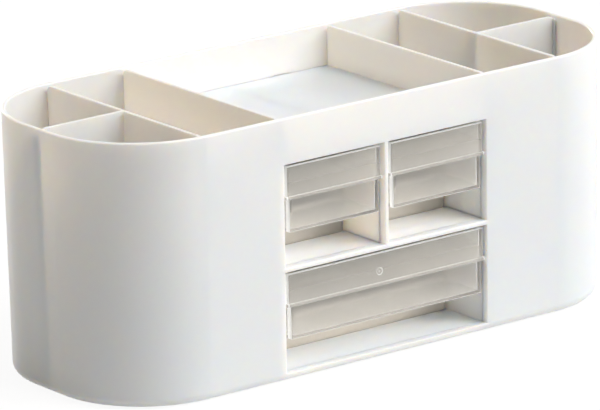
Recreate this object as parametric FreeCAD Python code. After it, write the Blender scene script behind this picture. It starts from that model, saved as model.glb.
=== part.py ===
import FreeCAD, Part
import os
from FreeCAD import Vector

# A free-standing brush holder: a deep moulded shell with rounded ends and open compartments for
# brushes at both ends, a shallow tray in the middle and, under the tray, a cabinet with three clear
# drawers that slide on its floor and shelf.
# Millimetres. X runs along the length, -Y is the drawer side, Z is up. Heights are measured from the
# underside of the shell; every piece is lifted onto the feet when it is written.

# Shell
shell_length = 292.0       # at the rim
shell_depth = 118.0        # at the rim
shell_height = 120.0
corner_radius = 48.0       # plan radius of the rounded ends at the rim
side_draft = 1.4           # each side stands this much further in at the base than at the rim
wall = 2.0
base_thickness = 2.0
base_edge_radius = 4.5
rim_radius = 0.8

# Cabinet under the tray
bay_width = 113.0          # clear width between the cabinet's side walls
cabinet_wall = 1.8
cabinet_floor = 1.8
tray_depth = 19.4          # rim of the shell to the tray's floor
shelf_thickness = 2.0
shelf_drop = 0.4           # the shelf lies this much below the middle of the cabinet
partition_thickness = 2.0
groove_depth = 0.7         # grooves that hold the shelf and the partition
frame_depth = 5.0          # window frame, from the front face inwards
window_edge_radius = 0.4

# Dividers
divider_wall = 1.8
divider_offset = 99.0      # middle of each cross divider from the middle of the shell
divider_drop = 0.6         # tops of the dividers and cabinet walls below the rim
divider_corner_radius = 3.0
divider_edge_radius = 0.5
flange_width = 4.6         # flange at the outer end of each divider's spur
flange_thickness = 1.2
guide_rib_height = 2.5
guide_rib_width = 1.2
guide_rib_length = 14.0

# Drawers
recess_height = 14.8       # finger recess under the front of the lower drawer
recess_depth = 28.0        # the recess reaches this far behind the shell's face
drawer_wall = 1.5
drawer_step = 1.2          # below the ledge the front is this much narrower on each side
ledge_thickness = 1.4
front_recess = 0.5         # upper front panel behind the shell's face
lower_front_recess = 0.6   # lower front panel behind the shell's face
drawer_corner_radius = 1.0 # upright outer corners of the front
hollow_corner_radius = 1.0 # upright inner corners behind the lower front panel
well_corner_radius = 3.2   # upright outer corners of the deep part behind the recess
well_bottom_radius = 1.2
front_bottom_radius = 0.6
drawer_edge_radius = 0.3
gate_mark_diameter = 3.2
gate_mark_depth = 0.3
gate_mark_drop = 8.6       # middle of the moulding gate's mark below the top of the lower drawer
gate_mark_offset = -4.0    # its middle from the middle of the drawer

# Feet
foot_diameter = 12.0
foot_stand = 0.6           # how far the feet hold the shell off the table
foot_recess = 0.6
foot_inset_x = 38.0        # foot centres in from the shell's ends
foot_inset_y = 27.0        # foot centres in from the shell's front and back

# Snap lugs that hold the cabinet down
lug_width = 8.0
lug_reach = 0.7
lug_root = 1.5             # length of a lug inside the shell's back wall
lug_spacing = 60.0

# Clearances
fit_gap = 0.2              # between pieces that are fitted once and stay put
end_gap = 0.3              # between the shell and the ends of what stands in it
drawer_side_gap = 1.65     # upper half of a drawer to the wall of its bay
deep_side_gap = 0.7        # ledge and deep part of a drawer to the wall of its bay
drawer_top_gap = 1.15      # top of a drawer to the top of its bay
drawer_back_gap = 0.6      # back of a shut drawer to the shell
slide_gap = 0.15           # underside of a drawer above what it slides on
ledge_face_gap = 0.1       # front of a ledge behind the shell's face

# Working allowances
overshoot = 1.0            # how far a cutting block runs past what it cuts
bite = 0.1                 # how far a rib reaches into what carries it before they are joined
tolerance = 0.01           # within this an edge counts as lying in a plane

# Places that follow from the sizes above
bay_half = bay_width / 2
cabinet_half = bay_half + cabinet_wall
floor_top = base_thickness + cabinet_floor
tray_top = shell_height - tray_depth
tray_bottom = tray_top - cabinet_wall
shelf_middle = (floor_top + tray_bottom) / 2 - shelf_drop
shelf_bottom = shelf_middle - shelf_thickness / 2
shelf_top = shelf_middle + shelf_thickness / 2
divider_top = shell_height - divider_drop
cabinet_front = -shell_depth / 2 + frame_depth + fit_gap
half_bar = partition_thickness / 2
inner_base_radius = base_edge_radius - wall
divider_edge_limit = 2 * divider_wall   # top edges shorter than this are the ends of a wall

front_height = shelf_bottom - floor_top - drawer_top_gap - recess_height
ledge_drop = front_height / 2           # underside of a ledge below the top of its drawer
upper_drawer_top = tray_bottom - drawer_top_gap
lower_drawer_top = shelf_bottom - drawer_top_gap


def inset(z):
    """How far the sides stand in from the rim's size at height z."""
    return side_draft * (1 - z / shell_height)


def face_y(z):
    """Y of the shell's front face at height z."""
    return -shell_depth / 2 + inset(z)


def inner_y(z):
    """Distance of the shell's long inner faces from its middle at height z."""
    return shell_depth / 2 - wall - inset(z)


def inner_x(z):
    """Distance of the shell's inner end faces from its middle at height z."""
    return shell_length / 2 - wall - inset(z)


# Solids that the pieces are made from

def box(x0, x1, y0, y1, z0, z1):
    return Part.makeBox(x1 - x0, y1 - y0, z1 - z0, Vector(x0, y0, z0))


def slab(x0, x1, z0, z1):
    """A box that is deeper than the shell, to be cut to length."""
    return box(x0, x1, -shell_depth, shell_depth, z0, z1)


def rounded_outline(x0, x1, y0, y1, radius, z):
    """A level rectangle with rounded corners, as a closed wire."""
    bulge = radius * (1 - 0.5 ** 0.5)
    corners = ((x1, y0, 1, -1), (x1, y1, 1, 1), (x0, y1, -1, 1), (x0, y0, -1, -1))
    edges = []
    for x, y, sx, sy in corners:
        ends = [Vector(x - sx * radius, y, z), Vector(x, y - sy * radius, z)]
        if sx == sy:
            ends.reverse()
        if edges:
            edges.append(Part.makeLine(edges[-1].Vertexes[-1].Point, ends[0]))
        edges.append(Part.Arc(ends[0], Vector(x - sx * bulge, y - sy * bulge, z), ends[1]).toShape())
    edges.append(Part.makeLine(edges[-1].Vertexes[-1].Point, edges[0].Vertexes[0].Point))
    return Part.Wire(edges)


def rounded_prism(x0, x1, y0, y1, z0, z1, radius):
    face = Part.Face(rounded_outline(x0, x1, y0, y1, radius, z0))
    return face.extrude(Vector(0, 0, z1 - z0))


def drafted_block(offset, z0, z1, edge_radius):
    """The shell's form moved in by offset, from z0 to z1, with its bottom edge rounded."""
    wires = []
    for z in (z0, z1):
        shift = offset + inset(z)
        x = shell_length / 2 - shift
        y = shell_depth / 2 - shift
        wires.append(rounded_outline(-x, x, -y, y, corner_radius - shift, z))
    block = Part.makeLoft(wires, True, True)
    return block.makeFillet(edge_radius, level_edges(block, z0))


def room(gap):
    """The space inside the shell, less a gap at its sides."""
    top = shell_height + overshoot
    return drafted_block(wall + gap, base_thickness, top, inner_base_radius + gap)


def near(value, place):
    return abs(value - place) < tolerance


def level_edges(shape, z):
    """The edges that lie level at height z."""
    bounds = [(edge, edge.BoundBox) for edge in shape.Edges]
    return [edge for edge, bound in bounds if near(bound.ZMin, z) and near(bound.ZMax, z)]


def one_solid(shape):
    return shape.removeSplitter().Solids[0]


# Shell

def foot_places():
    x = shell_length / 2 - foot_inset_x
    y = shell_depth / 2 - foot_inset_y
    return [(side * x, face * y) for side in (-1, 1) for face in (-1, 1)]


def lug_box(x, slack):
    """Where a snap lug of the cabinet stands in the shell's back wall."""
    half = lug_width / 2 + slack
    rear = inner_y(tray_bottom)
    return box(x - half, x + half, rear - lug_root, rear + lug_reach - fit_gap + slack,
               tray_bottom - slack, tray_top + slack)


def window_frame(outer):
    """The frame inside the window with the bars between its bays, flush with the front face."""
    front = -shell_depth / 2 - overshoot
    back = -shell_depth / 2 + frame_depth
    frame = box(-cabinet_half, cabinet_half, front, back, base_thickness, tray_top)
    frame = frame.cut(box(-bay_half, -half_bar, front, back, shelf_top, tray_bottom))
    frame = frame.cut(box(half_bar, bay_half, front, back, shelf_top, tray_bottom))
    frame = frame.cut(box(-bay_half, bay_half, front, back, floor_top, shelf_bottom))
    return frame.common(outer)


def guide_ribs():
    """Low ribs on the shell's floor that hold the feet of the two dividers."""
    inner = divider_wall / 2 + fit_gap
    outer = inner + guide_rib_width
    half = guide_rib_length / 2
    z0 = base_thickness - bite
    z1 = base_thickness + guide_rib_height
    ribs = []
    for side in (-1, 1):
        x = side * divider_offset
        spur_middle = side * (divider_offset + inner_x(0)) / 2
        for low, high in ((-outer, -inner), (inner, outer)):
            for y in (-shell_depth / 4, shell_depth / 4):
                ribs.append(box(x + low, x + high, y - half, y + half, z0, z1))
            ribs.append(box(spur_middle - half, spur_middle + half, low, high, z0, z1))
    return ribs


def round_window(shell):
    """Rounds the front edges of the three bays."""
    edges = []
    for edge in shell.Edges:
        bound = edge.BoundBox
        on_face = all(near(point.Y, face_y(point.Z)) for point in edge.Vertexes)
        in_width = max(-bound.XMin, bound.XMax) < bay_half + tolerance
        in_height = bound.ZMin > floor_top - tolerance and bound.ZMax < tray_bottom + tolerance
        if on_face and in_width and in_height:
            edges.append(edge)
    return shell.makeFillet(window_edge_radius, edges)


def outer_shell():
    outer = drafted_block(0, 0, shell_height, base_edge_radius)
    shell = outer.cut(room(0))
    shell = shell.makeFillet(rim_radius, level_edges(shell, shell_height))
    front_wall = -shell_depth / 2 + frame_depth
    shell = shell.cut(box(-bay_half, bay_half, -shell_depth, front_wall, floor_top, tray_bottom))
    shell = shell.fuse([window_frame(outer)] + guide_ribs())
    for x, y in foot_places():
        shell = shell.cut(Part.makeCylinder(foot_diameter / 2 + fit_gap, foot_recess, Vector(x, y, 0)))
    for x in (-lug_spacing / 2, lug_spacing / 2):
        shell = shell.cut(lug_box(x, fit_gap))
    return round_window(one_solid(shell))


# Cabinet

def behind_frame(shape, gap):
    """Cuts a piece of the cabinet to the room in the shell behind the window frame."""
    side = cabinet_half + overshoot
    frame_room = box(-side, side, -shell_depth, cabinet_front, 0, tray_top + fit_gap)
    return shape.common(room(gap)).cut(frame_room)


def round_wall_top(shape):
    """Rounds the two upper corners of a wall, then the edges along its top."""
    ends = [edge for edge in level_edges(shape, divider_top) if edge.Length < divider_edge_limit]
    shape = shape.makeFillet(divider_corner_radius, ends)
    return shape.makeFillet(divider_edge_radius, level_edges(shape, divider_top))


def cabinet_housing():
    walls = []
    for side in (-1, 1):
        x0, x1 = sorted((side * bay_half, side * cabinet_half))
        walls.append(round_wall_top(behind_frame(slab(x0, x1, base_thickness, divider_top), end_gap)))
    levels = [
        slab(-cabinet_half, cabinet_half, base_thickness, floor_top),
        slab(-cabinet_half, cabinet_half, tray_bottom, tray_top),
    ]
    body = walls[0].fuse([walls[1]] + [behind_frame(level, end_gap) for level in levels])
    body = body.fuse([lug_box(x, 0) for x in (-lug_spacing / 2, lug_spacing / 2)])
    slack = fit_gap / 2
    shelf_reach = bay_half + groove_depth
    body = body.cut(slab(-shelf_reach, shelf_reach, shelf_bottom - slack, shelf_top + slack))
    partition_half = half_bar + slack
    groove = slab(-partition_half, partition_half, tray_bottom - overshoot, tray_bottom + groove_depth)
    body = body.cut(groove)
    return one_solid(body)


def middle_shelf():
    reach = bay_half + groove_depth - fit_gap / 2
    shelf = behind_frame(slab(-reach, reach, shelf_bottom, shelf_top), end_gap)
    slot_half = half_bar + fit_gap / 2
    groove = slab(-slot_half, slot_half, shelf_top - groove_depth, shelf_top + overshoot)
    return one_solid(shelf.cut(groove))


def centre_partition():
    sunk = groove_depth - fit_gap / 2
    plate = slab(-half_bar, half_bar, shelf_top - sunk, tray_bottom + sunk)
    return one_solid(behind_frame(plate, end_gap))


# Dividers in the ends of the shell

def cross_divider(side):
    """A wall from front to back with a spur from its middle to the end of the shell."""
    half = divider_wall / 2
    x = side * divider_offset
    cross = slab(x - half, x + half, base_thickness, divider_top).common(room(end_gap))
    cross = round_wall_top(cross)
    return one_solid(cross.fuse(spur(side)))


def spur(side):
    """The spur, with a flange at its end that lies along the shell."""
    half = divider_wall / 2
    end = inner_x(divider_top) - end_gap
    x0, x1 = sorted((side * divider_offset, side * end))
    outline = slab(x0, x1, base_thickness, divider_top)
    outer_corner = [edge for edge in level_edges(outline, divider_top)
                    if near(edge.BoundBox.Center.x, side * end)]
    outline = outline.makeFillet(divider_corner_radius, outer_corner)
    blade = box(x0, x1, -half, half, base_thickness, divider_top)
    flange = box(x0, x1, -flange_width / 2, flange_width / 2, base_thickness, divider_top)
    flange = flange.cut(room(end_gap + flange_thickness))
    return blade.fuse(flange).common(room(end_gap)).common(outline)


# Drawers

def drawer(x0, x1, top, floor):
    """A clear drawer, shut, for the bay between x0 and x1, that slides on a floor at the height given.
    A ledge runs round it halfway down its front, and the front is narrower below it. Behind a finger
    recess a deep part as wide as the ledge reaches down to the floor."""
    wide_left = x0 + deep_side_gap
    wide_right = x1 - deep_side_gap
    left = x0 + drawer_side_gap
    right = x1 - drawer_side_gap
    low_left = left + drawer_step
    low_right = right - drawer_step
    front_bottom = top - front_height
    bottom = floor + slide_gap
    ledge_bottom = top - ledge_drop
    ledge_top = ledge_bottom + ledge_thickness
    face = face_y(ledge_bottom)
    front = face + front_recess
    low_front = face + lower_front_recess
    well_front = face + recess_depth
    rear = inner_y(bottom) - drawer_back_gap
    upper_rear = rear - (drawer_side_gap - deep_side_gap)
    t = drawer_wall
    r = drawer_corner_radius
    well_r = well_corner_radius
    joined = well_front + 2 * well_r        # the part over the recess runs back to here

    over_recess = rounded_prism(low_left, low_right, low_front, joined, front_bottom, ledge_top, r)
    over_recess = over_recess.makeFillet(front_bottom_radius, level_edges(over_recess, front_bottom))
    well = rounded_prism(wide_left, wide_right, well_front, rear, bottom, ledge_top, well_r)
    well = well.makeFillet(well_bottom_radius, level_edges(well, bottom))
    ledge = rounded_prism(wide_left, wide_right, face + ledge_face_gap, rear, ledge_bottom, ledge_top, r)
    ledge = ledge.makeFillet(drawer_edge_radius,
                             level_edges(ledge, ledge_bottom) + level_edges(ledge, ledge_top))
    upper = rounded_prism(left, right, front, upper_rear, ledge_bottom, top, r)
    body = upper.fuse([over_recess, well, ledge])
    above = top + overshoot
    body = body.cut(rounded_prism(left + t, right - t, front + t, upper_rear - t, ledge_top, above, r))
    body = body.cut(rounded_prism(low_left + t, low_right - t, low_front + t, joined,
                                  front_bottom + t, above, hollow_corner_radius))
    body = body.cut(rounded_prism(wide_left + t, wide_right - t, well_front + t, rear - t,
                                  bottom + t, ledge_bottom, well_r - t))
    body = one_solid(body.cut(rounded_prism(left + t, right - t, well_front + t, upper_rear - t,
                                            bottom + t, above, well_r - t)))
    return body.makeFillet(drawer_edge_radius, level_edges(body, top))


def lower_drawer():
    """The wide drawer, with the round mark of the moulding gate in its front."""
    body = drawer(-bay_half, bay_half, lower_drawer_top, floor_top)
    front = face_y(lower_drawer_top - ledge_drop) + front_recess
    place = Vector(gate_mark_offset, front - overshoot, lower_drawer_top - gate_mark_drop)
    length = overshoot + gate_mark_depth
    mark = Part.makeCylinder(gate_mark_diameter / 2, length, place, Vector(0, 1, 0))
    return one_solid(body.cut(mark))


def feet():
    height = foot_stand + foot_recess
    return Part.makeCompound([
        Part.makeCylinder(foot_diameter / 2, height, Vector(x, y, -foot_stand)) for x, y in foot_places()
    ])


pieces = {
    "outer_shell": outer_shell(),
    "cabinet_housing": cabinet_housing(),
    "middle_shelf": middle_shelf(),
    "centre_partition": centre_partition(),
    "left_cross_divider": cross_divider(-1),
    "right_cross_divider": cross_divider(1),
    "upper_left_drawer": drawer(-bay_half, -half_bar, upper_drawer_top, shelf_top),
    "upper_right_drawer": drawer(half_bar, bay_half, upper_drawer_top, shelf_top),
    "lower_drawer": lower_drawer(),
    "anti_slip_feet": feet(),
}

os.makedirs("parts", exist_ok=True)
for node, shape in pieces.items():
    shape.translate(Vector(0, 0, foot_stand))
    shape.exportStep("parts/" + node + ".step")
    print(node, len(shape.Solids), "solids, valid:", shape.isValid(), "volume:", round(shape.Volume))
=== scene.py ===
import math
import bpy
from mathutils import Matrix, Vector


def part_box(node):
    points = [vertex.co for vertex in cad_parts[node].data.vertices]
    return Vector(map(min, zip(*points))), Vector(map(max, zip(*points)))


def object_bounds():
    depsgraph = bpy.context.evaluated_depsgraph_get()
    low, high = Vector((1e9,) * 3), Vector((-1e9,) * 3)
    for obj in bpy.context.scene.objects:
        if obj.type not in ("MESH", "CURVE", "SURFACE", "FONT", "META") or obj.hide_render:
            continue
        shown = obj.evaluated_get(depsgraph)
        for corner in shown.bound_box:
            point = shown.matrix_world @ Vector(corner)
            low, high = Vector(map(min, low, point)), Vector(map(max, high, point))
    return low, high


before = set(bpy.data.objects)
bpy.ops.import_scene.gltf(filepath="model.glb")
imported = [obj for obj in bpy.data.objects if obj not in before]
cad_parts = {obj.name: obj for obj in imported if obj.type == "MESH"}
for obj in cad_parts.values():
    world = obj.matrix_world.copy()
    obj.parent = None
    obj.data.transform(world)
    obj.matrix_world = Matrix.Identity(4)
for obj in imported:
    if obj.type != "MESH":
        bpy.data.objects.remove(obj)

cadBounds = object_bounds()
mm = 0.001
noiseLimits = (0.3, 0.7)      # nearly all of a noise lies between these
cornerLimits = (0.995, 0.8)   # cosine of a corner's turn where a corner mark begins, and where it is full: rubbing on the ivory, a painted highlight on the drawers
print("frame loaded:", len(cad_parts), "pieces")


def newMaterial(name):
    material = bpy.data.materials.new(name)
    material.use_nodes = True
    material.node_tree.nodes.clear()
    return material, material.node_tree


def addNode(tree, kind, at, settings=None, **inputs):
    node = tree.nodes.new("ShaderNode" + kind)
    node.location = at
    for key, value in (settings or {}).items():
        setattr(node, key, value)
    for key, value in inputs.items():
        node.inputs[key].default_value = value
    return node


def wire(tree, source, target):
    tree.links.new(source, target)


# a value stretched from one pair of limits to another, and held between them
def stretch(tree, at, value, found, wanted=(0.0, 1.0)):
    spread = addNode(tree, "MapRange", at)
    for name, limit in zip(("From Min", "From Max", "To Min", "To Max"), found + wanted):
        spread.inputs[name].default_value = limit
    wire(tree, value, spread.inputs["Value"])
    return spread.outputs["Result"]


# a noise between two limits, its size measured in metres on the object
def noiseBetween(tree, at, size, low, high):
    place = addNode(tree, "TexCoord", (at[0] - 400, at[1]))
    noise = addNode(tree, "TexNoise", (at[0] - 200, at[1]), Scale=1 / size, Detail=2.0)
    wire(tree, place.outputs["Object"], noise.inputs["Vector"])
    return stretch(tree, at, noise.outputs["Fac"], noiseLimits, (low, high))


# 0 on flat faces, 1 on corners: where hands and cloths rub the ivory, and where the drawers' corners
#                                carry a painted highlight
def wornAndHighlitCorners(tree, at, width):
    worn = addNode(tree, "Bevel", (at[0] - 600, at[1]), {"samples": 4}, Radius=width)
    face = addNode(tree, "NewGeometry", (at[0] - 600, at[1] - 150))
    match = addNode(tree, "VectorMath", (at[0] - 400, at[1]), {"operation": "DOT_PRODUCT"})
    wire(tree, worn.outputs["Normal"], match.inputs[0])
    wire(tree, face.outputs["Normal"], match.inputs[1])
    return stretch(tree, at, match.outputs["Value"], cornerLimits)


def mixColours(tree, at, amount, first, second):
    mix = addNode(tree, "Mix", at, {"data_type": "RGBA"})
    for socket, value in (("Factor_Float", amount), ("A_Color", first), ("B_Color", second)):
        target = next(item for item in mix.inputs if item.identifier == socket)
        if hasattr(value, "default_value"):
            wire(tree, value, target)
        else:
            target.default_value = value
    return next(item for item in mix.outputs if item.identifier == "Result_Color")


def addBump(tree, at, height, depth):
    bump = addNode(tree, "Bump", at, Strength=1.0, Distance=depth)
    wire(tree, height, bump.inputs["Height"])
    return bump.outputs["Normal"]


# one step of sums on values, each given as a number or as a socket
def reckon(tree, at, operation, *values):
    node = addNode(tree, "Math", at, {"operation": operation})
    for socket, value in zip(node.inputs, values):
        if hasattr(value, "default_value"):
            wire(tree, value, socket)
        else:
            socket.default_value = value
    return node.outputs["Value"]


# ivory plastic, moulded smooth and thin enough for some light to pass through the walls
shellFinish = {
    "colour": (0.95, 0.93, 0.898, 1), "cloud": (0.954, 0.935, 0.905, 1), "cloudSize": 60 * mm,
    "edge": (0.96, 0.952, 0.94, 1), "edgeWidth": 0.9 * mm, "ior": 1.49,
    "roughness": (0.275, 0.295), "roughnessSize": 20 * mm, "grain": 0.5 * mm, "grainDepth": 0.0015 * mm,
    "glow": 1.0, "glowReach": 6.5 * mm, "glowColour": (1.0, 0.75, 0.5),
}
insertFinish = dict(shellFinish, roughness=(0.3, 0.33), glowReach=7 * mm)


def ivoryPlastic(name, finish):
    material, tree = newMaterial(name)
    skin = addNode(tree, "BsdfPrincipled", (300, 0), IOR=finish["ior"])
    skin.inputs["Subsurface Weight"].default_value = finish["glow"]
    skin.inputs["Subsurface Radius"].default_value = finish["glowColour"]
    skin.inputs["Subsurface Scale"].default_value = finish["glowReach"]
    out = addNode(tree, "OutputMaterial", (600, 0))
    cloud = noiseBetween(tree, (-500, 300), finish["cloudSize"], 0.0, 1.0)
    edges = wornAndHighlitCorners(tree, (-500, 50), finish["edgeWidth"])
    body = mixColours(tree, (-200, 300), cloud, finish["colour"], finish["cloud"])
    wire(tree, mixColours(tree, (0, 300), edges, body, finish["edge"]), skin.inputs["Base Color"])
    roughness = noiseBetween(tree, (-200, -100), finish["roughnessSize"], *finish["roughness"])
    wire(tree, roughness, skin.inputs["Roughness"])
    grain = noiseBetween(tree, (-500, -650), finish["grain"], 0.0, 1.0)
    wire(tree, addBump(tree, (50, -450), grain, finish["grainDepth"]), skin.inputs["Normal"])
    wire(tree, skin.outputs["BSDF"], out.inputs["Surface"])
    return material


# clear drawers, frosted by their moulding; the frost is spread as painted shade and painted light, and
# the edges and the gate mark carry painted highlights
clearFinish = {
    "colour": (0.985, 0.985, 0.98, 1), "ior": 1.57, "shadowTint": (0.92, 0.91, 0.9, 1),
    "roughness": (0.14, 0.2), "roughnessSize": 12 * mm, "ripple": 18 * mm, "rippleDepth": 0.015 * mm,
    # the frost at the rim, at the ledge and behind the recess is painted shade and painted light; the
    # edge share and colour paint highlights
    "rimShadeHaze": 0.2, "ledgeLightHaze": 0.33, "lowerHaze": (0.11, 0.14), "lowerHazeSize": 30 * mm,
    "deepLightHaze": 0.56, "edgeHighlight": 0.85, "highlightWidth": 0.42 * mm, "ledgeHighlightWidth": 0.5 * mm,
    "hazeColour": (0.93, 0.915, 0.87, 1), "highlightColour": (0.93, 0.95, 0.97, 1), "hazeThrough": 0.5,
}
drawerFront = {"height": 30.15 * mm, "ledge": 15.075 * mm, "ledgeSide": 0.95 * mm, "step": 1.2 * mm,
               "depth": 3 * mm, "recess": 25 * mm}
# the gate mark's ring and point, made pale as a painted glint
gateMarkGlint = {"offset": -4 * mm, "drop": 8.6 * mm, "radius": 1.6 * mm, "line": 0.2 * mm,
            "point": 0.6 * mm, "share": 0.5}


# the round mark that the moulding gate leaves, frosted pale as a painted glint: a point in a fine ring
def gateGlintLines(tree, at, place, box, glintMark):
    low, high = box
    flat = addNode(tree, "VectorMath", at, {"operation": "MULTIPLY"})
    flat.inputs[1].default_value = (1, 0, 1)
    span = addNode(tree, "VectorMath", (at[0] + 150, at[1]), {"operation": "DISTANCE"})
    span.inputs[1].default_value = ((low.x + high.x) / 2 + glintMark["offset"], 0, high.z - glintMark["drop"])
    wire(tree, place, flat.inputs[0])
    wire(tree, flat.outputs["Vector"], span.inputs[0])
    away = span.outputs["Value"]
    ring = reckon(tree, (at[0] + 300, at[1]), "COMPARE", away, glintMark["radius"], glintMark["line"])
    point = reckon(tree, (at[0] + 300, at[1] - 150), "LESS_THAN", away, glintMark["point"])
    both = reckon(tree, (at[0] + 450, at[1]), "MAXIMUM", ring, point)
    return reckon(tree, (at[0] + 600, at[1]), "MULTIPLY", both, glintMark["share"])


# four values for a point of a drawer: whether it is on a painted highlight line of the uprights, the foot
# or the rim, or on the gate mark's painted glint;
# whether it is over the ledge; how far up it is from there to the rim; whether it is behind the recess
def frontHighlights(tree, at, box, front, width, glintMark):
    low, high = box
    middle, half = (low.x + high.x) / 2, (high.x - low.x) / 2 - front["ledgeSide"]
    place = addNode(tree, "TexCoord", at)
    split = addNode(tree, "SeparateXYZ", (at[0] + 150, at[1]))
    wire(tree, place.outputs["Object"], split.inputs["Vector"])
    x, y, z = (split.outputs[axis] for axis in "XYZ")
    ledge = high.z - front["ledge"]
    over = reckon(tree, (at[0] + 300, at[1]), "GREATER_THAN", z, ledge)
    across = reckon(tree, (at[0] + 300, at[1] - 150), "ABSOLUTE",
                    reckon(tree, (at[0] + 300, at[1] - 300), "SUBTRACT", x, middle))
    edge = reckon(tree, (at[0] + 450, at[1]), "MULTIPLY_ADD", over, front["step"], half - front["step"])
    # painted highlight lines along the uprights, the foot and the rim, kept to the front panel
    sides = reckon(tree, (at[0] + 600, at[1]), "COMPARE", across, edge, width)
    ahead = reckon(tree, (at[0] + 450, at[1] - 300), "LESS_THAN", y, low.y + front["depth"])
    foot = reckon(tree, (at[0] + 450, at[1] - 450), "COMPARE", z, high.z - front["height"], width)
    rim = reckon(tree, (at[0] + 450, at[1] - 600), "COMPARE", z, high.z, width)
    highlightLines = reckon(tree, (at[0] + 750, at[1]), "MAXIMUM", sides, foot)
    if glintMark:
        highlightLines = reckon(tree, (at[0] + 800, at[1] + 150), "MAXIMUM", highlightLines,
                       gateGlintLines(tree, (at[0] + 150, at[1] + 300), place.outputs["Object"], box, glintMark))
    highlightLines = reckon(tree, (at[0] + 900, at[1]), "MULTIPLY", highlightLines, ahead)
    highlightLines = reckon(tree, (at[0] + 1050, at[1]), "MAXIMUM", highlightLines, rim)
    climb = stretch(tree, (at[0] + 600, at[1] - 450), z, (ledge, high.z))
    deep = reckon(tree, (at[0] + 450, at[1] - 750), "GREATER_THAN", y, low.y + front["recess"])
    return highlightLines, over, climb, deep


def clearPlastic(name, finish, box, front, glintMark=None):
    material, tree = newMaterial(name)
    glass = addNode(tree, "BsdfPrincipled", (100, 200), IOR=finish["ior"])
    glass.inputs["Base Color"].default_value = finish["colour"]
    glass.inputs["Transmission Weight"].default_value = 1.0
    outside = addNode(tree, "BsdfDiffuse", (100, -250))
    behind = addNode(tree, "BsdfTranslucent", (100, -400))
    frost = addNode(tree, "MixShader", (250, -300), Fac=finish["hazeThrough"])
    through = addNode(tree, "BsdfTransparent", (300, -500), Color=finish["shadowTint"])
    milky = addNode(tree, "MixShader", (450, 100))
    light = addNode(tree, "LightPath", (450, 400))
    pick = addNode(tree, "MixShader", (650, 100))
    out = addNode(tree, "OutputMaterial", (850, 100))
    highlightLines, over, climb, deep = frontHighlights(tree, (-1500, 900), box, front, finish["highlightWidth"], glintMark)
    # painted shade and light: the frost thins toward the rim, so the band is darker at the top and
    # lighter at the ledge
    above = reckon(tree, (-400, 500), "MULTIPLY_ADD", climb, finish["rimShadeHaze"] - finish["ledgeLightHaze"],
                   finish["ledgeLightHaze"])
    below = noiseBetween(tree, (-600, 300), finish["lowerHazeSize"], *finish["lowerHaze"])
    # painted light: thicker frost behind the recess makes the deep part lighter
    below = reckon(tree, (-300, 300), "MAXIMUM", below,
                   reckon(tree, (-500, 150), "MULTIPLY", deep, finish["deepLightHaze"]))
    haze = addNode(tree, "Mix", (-200, 500))
    wire(tree, over, haze.inputs["Factor"])
    wire(tree, below, haze.inputs["A"])
    wire(tree, above, haze.inputs["B"])
    # painted highlight on the ledge's corners, joined to the front's painted highlight lines
    cornerHighlight = wornAndHighlitCorners(tree, (-400, 800), finish["ledgeHighlightWidth"])
    edges = reckon(tree, (-200, 800), "MAXIMUM", highlightLines, cornerHighlight)
    share = reckon(tree, (250, 600), "MAXIMUM", haze.outputs["Result"],
                   reckon(tree, (0, 800), "MULTIPLY", edges, finish["edgeHighlight"]))
    wire(tree, share, milky.inputs["Fac"])
    # the painted highlight lines take a paler, cooler tint than the frost
    tint = mixColours(tree, (0, -300), edges, finish["hazeColour"], finish["highlightColour"])
    wire(tree, tint, outside.inputs["Color"])
    wire(tree, tint, behind.inputs["Color"])
    roughness = noiseBetween(tree, (-200, 100), finish["roughnessSize"], *finish["roughness"])
    wire(tree, roughness, glass.inputs["Roughness"])
    ripple = noiseBetween(tree, (-400, -300), finish["ripple"], 0.0, 1.0)
    wire(tree, addBump(tree, (-100, -150), ripple, finish["rippleDepth"]), glass.inputs["Normal"])
    wire(tree, outside.outputs["BSDF"], frost.inputs[1])
    wire(tree, behind.outputs["BSDF"], frost.inputs[2])
    wire(tree, glass.outputs["BSDF"], milky.inputs[1])
    wire(tree, frost.outputs["Shader"], milky.inputs[2])
    wire(tree, light.outputs["Is Shadow Ray"], pick.inputs["Fac"])
    wire(tree, milky.outputs["Shader"], pick.inputs[1])
    wire(tree, through.outputs["BSDF"], pick.inputs[2])
    wire(tree, pick.outputs["Shader"], out.inputs["Surface"])
    return material


# soft feet
footFinish = {"colour": (0.72, 0.72, 0.7, 1), "ior": 1.43, "roughness": (0.55, 0.75),
              "roughnessSize": 4 * mm, "grain": 0.6 * mm, "grainDepth": 0.02 * mm}


def footRubber(name, finish):
    material, tree = newMaterial(name)
    skin = addNode(tree, "BsdfPrincipled", (300, 0), IOR=finish["ior"])
    skin.inputs["Base Color"].default_value = finish["colour"]
    out = addNode(tree, "OutputMaterial", (600, 0))
    roughness = noiseBetween(tree, (0, 0), finish["roughnessSize"], *finish["roughness"])
    wire(tree, roughness, skin.inputs["Roughness"])
    grain = noiseBetween(tree, (-200, -300), finish["grain"], 0.0, 1.0)
    wire(tree, addBump(tree, (50, -300), grain, finish["grainDepth"]), skin.inputs["Normal"])
    wire(tree, skin.outputs["BSDF"], out.inputs["Surface"])
    return material


shellPlastic = ivoryPlastic("shellPlastic", shellFinish)
insertPlastic = ivoryPlastic("insertPlastic", insertFinish)
footSkin = footRubber("footSkin", footFinish)

finishes = {
    "outer_shell": shellPlastic, "cabinet_housing": insertPlastic, "middle_shelf": insertPlastic,
    "centre_partition": insertPlastic, "left_cross_divider": insertPlastic,
    "right_cross_divider": insertPlastic, "anti_slip_feet": footSkin,
}
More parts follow.
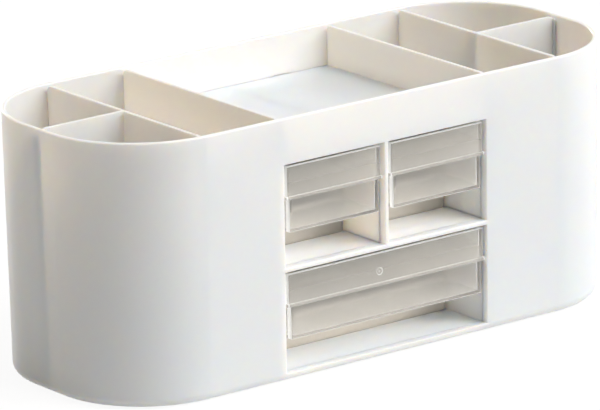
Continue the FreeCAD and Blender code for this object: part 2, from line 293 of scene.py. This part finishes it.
# only the lower drawer carries the gate mark's painted glint
drawerGlints = {"upper_left_drawer": None, "upper_right_drawer": None, "lower_drawer": gateMarkGlint}
for name, glintMark in drawerGlints.items():
    finishes[name] = clearPlastic(name + "_plastic", clearFinish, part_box(name), drawerFront, glintMark)
for node, material in finishes.items():
    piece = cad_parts[node]
    piece.data.materials.clear()
    piece.data.materials.append(material)
print("finishes given to", len(finishes), "pieces")


studio = {
    "floorSize": 8.0, "floorDrop": 0.02 * mm, "floorColour": (0.74, 0.74, 0.74, 1), "floorGlow": 0.03,
    "white": 1.08, "shadowShare": 0.15, "ambient": (1.0, 0.98, 0.95, 1), "ambientStrength": 0.02,
}


# 1 for what is seen straight, in a reflection or through clear plastic, 0 for light that bounces
def seenRays(tree, at):
    light = addNode(tree, "LightPath", (at[0] - 200, at[1]))
    straight = reckon(tree, at, "MAXIMUM", light.outputs["Is Camera Ray"], light.outputs["Is Glossy Ray"])
    return reckon(tree, (at[0] + 200, at[1]), "MAXIMUM", straight, light.outputs["Is Transmission Ray"])


# white where it is seen, with a share of the real light so that the shadow shows
def makeFloor(setup):
    half = setup["floorSize"] / 2
    data = bpy.data.meshes.new("floor")
    data.from_pydata([(-half, -half, 0), (half, -half, 0), (half, half, 0), (-half, half, 0)], [],
                     [(0, 1, 2, 3)])
    floor = bpy.data.objects.new("floor", data)
    floor.location.z = -setup["floorDrop"]   # a hair under the feet
    bpy.context.scene.collection.objects.link(floor)
    material, tree = newMaterial("floorPaper")
    lit = addNode(tree, "BsdfDiffuse", (0, 0), Color=setup["floorColour"])
    glow = addNode(tree, "Emission", (0, -150), Strength=setup["white"])
    both = addNode(tree, "MixShader", (200, 0), Fac=1 - setup["shadowShare"])
    faint = addNode(tree, "Emission", (0, -300), Strength=setup["floorGlow"])
    bounce = addNode(tree, "AddShader", (200, -200))
    pick = addNode(tree, "MixShader", (400, 0))
    out = addNode(tree, "OutputMaterial", (600, 0))
    wire(tree, lit.outputs["BSDF"], both.inputs[1])
    wire(tree, glow.outputs["Emission"], both.inputs[2])
    wire(tree, seenRays(tree, (0, 300)), pick.inputs["Fac"])
    wire(tree, lit.outputs["BSDF"], bounce.inputs[0])
    wire(tree, faint.outputs["Emission"], bounce.inputs[1])
    wire(tree, bounce.outputs["Shader"], pick.inputs[1])
    wire(tree, both.outputs["Shader"], pick.inputs[2])
    wire(tree, pick.outputs["Shader"], out.inputs["Surface"])
    data.materials.append(material)


def makeWorld(setup):
    world = bpy.data.worlds.new("studio")
    bpy.context.scene.world = world
    world.use_nodes = True
    tree = world.node_tree
    tree.nodes.clear()
    room = addNode(tree, "Background", (0, 0), Color=setup["ambient"], Strength=setup["ambientStrength"])
    backdrop = addNode(tree, "Background", (0, -150), Color=(1, 1, 1, 1), Strength=setup["white"])
    pick = addNode(tree, "MixShader", (300, 0))
    out = addNode(tree, "OutputWorld", (500, 0))
    wire(tree, seenRays(tree, (-100, 300)), pick.inputs["Fac"])
    wire(tree, room.outputs["Background"], pick.inputs[1])
    wire(tree, backdrop.outputs["Background"], pick.inputs[2])
    wire(tree, pick.outputs["Shader"], out.inputs["Surface"])


lamps = {
    "highLamp": {"azimuth": 25, "elevation": 57, "size": 3.2, "power": 222, "colour": (1.0, 0.965, 0.92)},
    "sideLamp": {"azimuth": 45, "elevation": 32, "size": 3.2, "power": 178, "colour": (1.0, 0.98, 0.96)},
    "rightLamp": {"azimuth": 75, "elevation": 20, "size": 3.2, "power": 42, "colour": (1.0, 0.965, 0.92)},
    "endLamp": {"azimuth": -152, "elevation": 30, "size": 3.2, "power": 52, "colour": (1.0, 0.85, 0.64)},
    "backLamp": {"azimuth": 168, "elevation": 5, "size": 1.0, "power": 95, "colour": (1.0, 0.965, 0.92)},
    "topLamp": {"azimuth": 0, "elevation": 88, "size": 3.6, "power": 70, "colour": (1.0, 0.97, 0.93)},
}
lampDistance = 6


# the way from the holder to a lamp or to the camera
def outward(azimuth, elevation):
    turn, rise = math.radians(azimuth), math.radians(elevation)
    return Vector((math.sin(turn) * math.cos(rise), -math.cos(turn) * math.cos(rise), math.sin(rise)))


def hangLamp(name, setup):
    data = bpy.data.lights.new(name, "AREA")
    data.size = setup["size"]
    data.energy = setup["power"]
    data.color = setup["colour"]
    lamp = bpy.data.objects.new(name, data)
    way = outward(setup["azimuth"], setup["elevation"])
    lamp.location = Vector((0, 0, cadBounds[1][2] / 2)) + way * lampDistance
    lamp.rotation_euler = way.to_track_quat("Z", "Y").to_euler()
    lamp.visible_camera = False
    bpy.context.scene.collection.objects.link(lamp)


makeFloor(studio)
makeWorld(studio)
for name, setup in lamps.items():
    hangLamp(name, setup)
print("floor, backdrop and", len(lamps), "lamps set")


viewpoint = {"azimuth": -37.276, "elevation": 16.185, "roll": -1.229, "distance": 3.085,
             "aim": (-0.00783, -0.0055, 0.0606), "lens": 415.74, "sensor": 36.0, "farEnd": 50}


def placeCamera(setup):
    roll = math.radians(setup["roll"])
    back = outward(setup["azimuth"], setup["elevation"])
    right = (-back).cross(Vector((0, 0, 1))).normalized()
    up = right.cross(-back)
    side = right * math.cos(roll) + up * math.sin(roll)
    top = up * math.cos(roll) - right * math.sin(roll)
    data = bpy.data.cameras.new("camera")
    data.lens = setup["lens"]
    data.sensor_width = setup["sensor"]
    data.clip_end = setup["farEnd"]
    camera = bpy.data.objects.new("camera", data)
    turn = Matrix((side, top, back)).transposed().to_4x4()
    camera.matrix_world = Matrix.Translation(Vector(setup["aim"]) + back * setup["distance"]) @ turn
    bpy.context.scene.collection.objects.link(camera)
    bpy.context.scene.camera = camera


placeCamera(viewpoint)
bpy.context.scene.view_settings.view_transform = "Standard"

print("camera placed")
